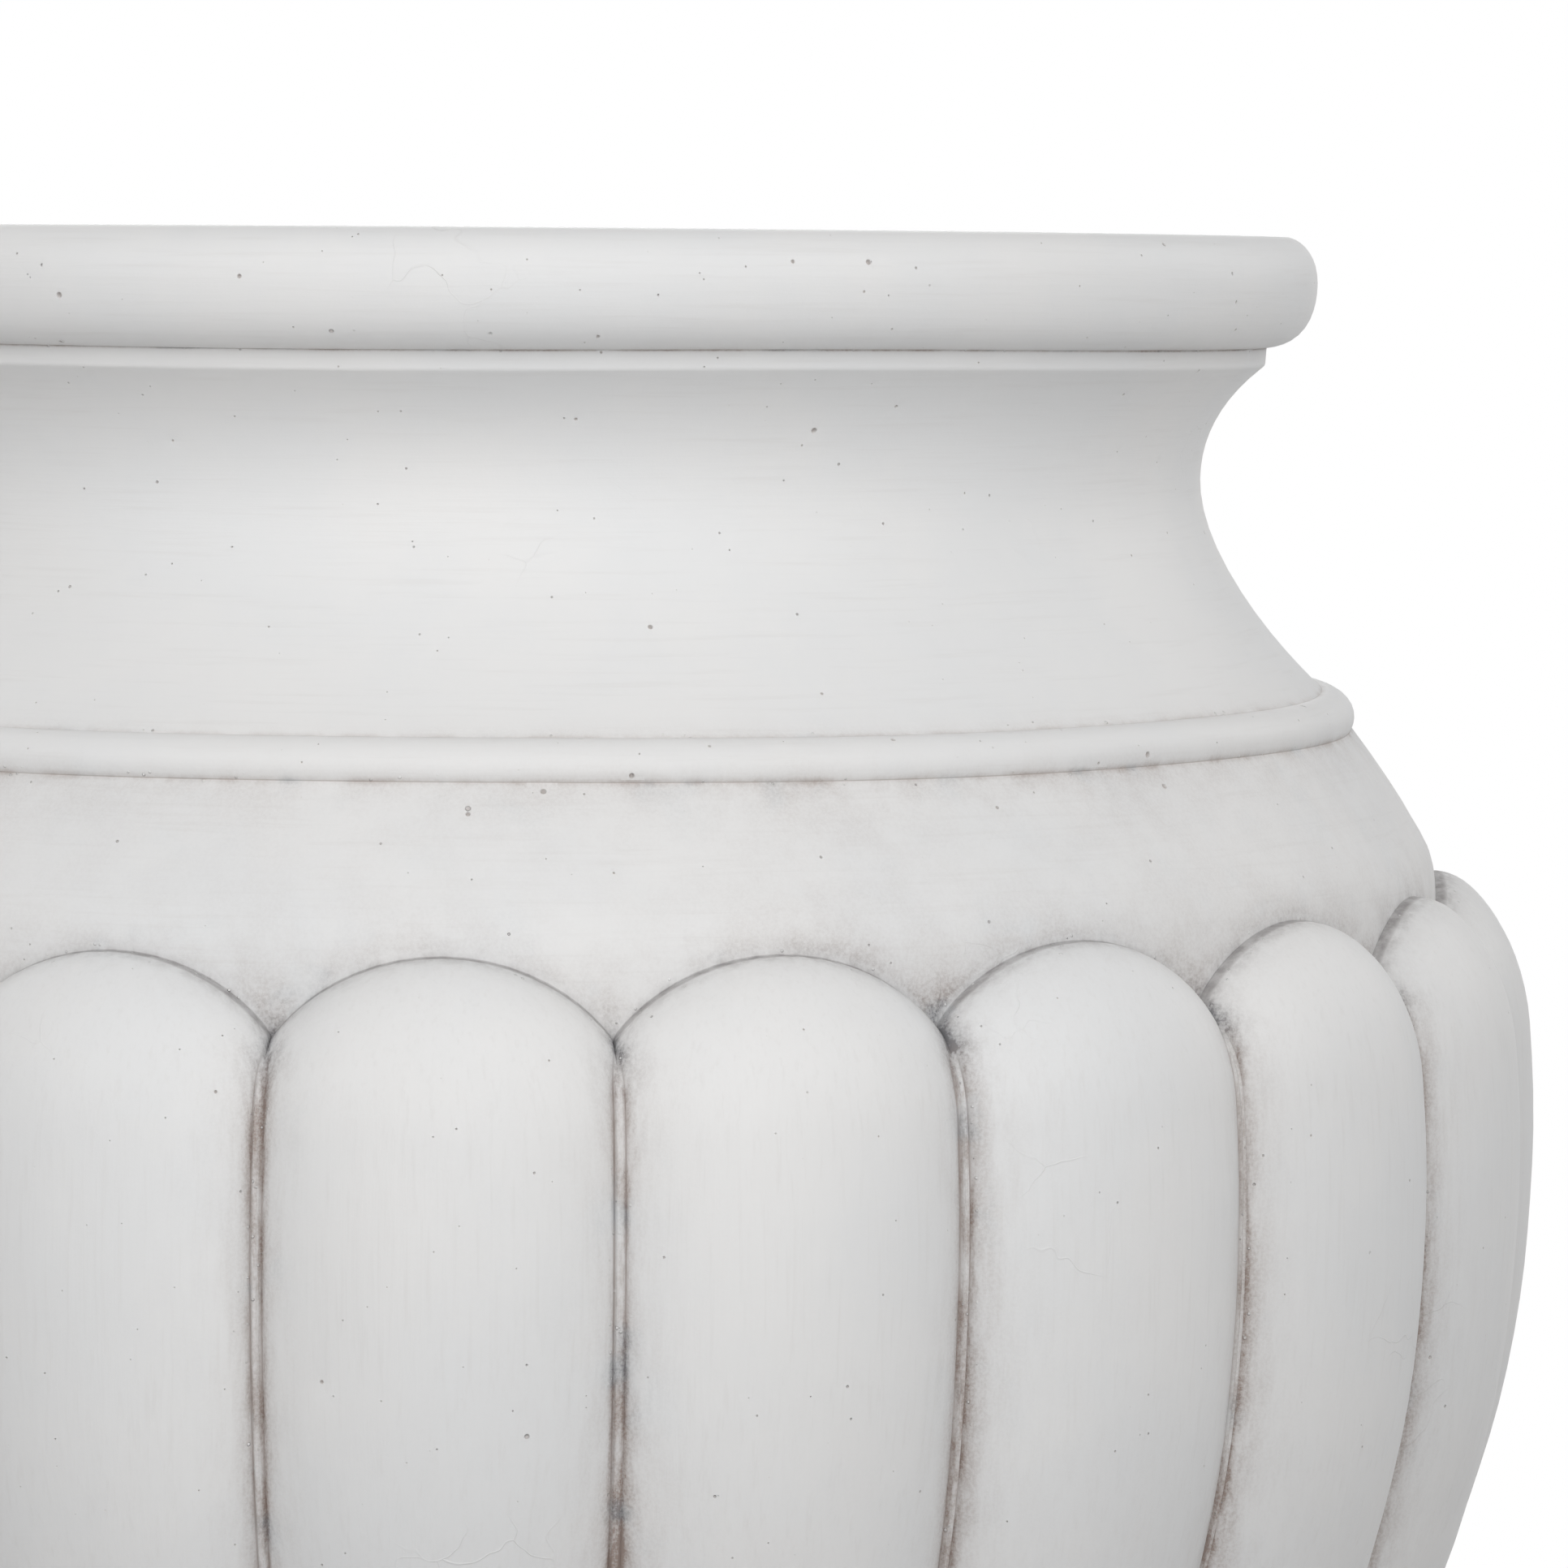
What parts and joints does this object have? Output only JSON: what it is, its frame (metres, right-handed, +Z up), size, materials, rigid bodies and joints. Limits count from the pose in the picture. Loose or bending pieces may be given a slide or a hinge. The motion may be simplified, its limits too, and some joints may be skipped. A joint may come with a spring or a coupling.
{
  "type": "urn planter",
  "caption": "Lobed round urn planter with a rolled rim, cove neck and bead, bolted to a turned foot through its drain, with a lift-out drain plug.",
  "frame": {"origin": "on the floor, on the urn's axis", "axes": "+Z up along the urn's axis; +X and +Y through two of the foot's drain notches"},
  "size_m": [0.61, 0.61, 0.61],
  "materials": {
    "bowl_stone": "painted off-white cast stone with brown-grey patina in the creases",
    "foot_stone": "painted off-white cast stone with brown-grey patina in the creases",
    "gasket_rubber": "matt black rubber",
    "fitting_brass": "dull brass",
    "zinc_steel": "zinc-plated steel",
    "plug_rubber": "matt black rubber"
  },
  "bodies": {
    "urn": {"urn_bowl": "bowl_stone", "socle_foot": "foot_stone", "seat_gasket": "gasket_rubber", "drain_fitting": "fitting_brass", "fitting_gasket": "gasket_rubber", "lower_gasket": "gasket_rubber", "lower_washer": "zinc_steel", "lower_nut": "zinc_steel"},
    "plug": {"drain_plug": "plug_rubber"}
  },
  "joints": [
    {"name": "plug_lift", "type": "slide", "parent": "urn", "child": "plug", "axis": [0, 0, 1], "range_m": [0, 0.54]}
  ]
}
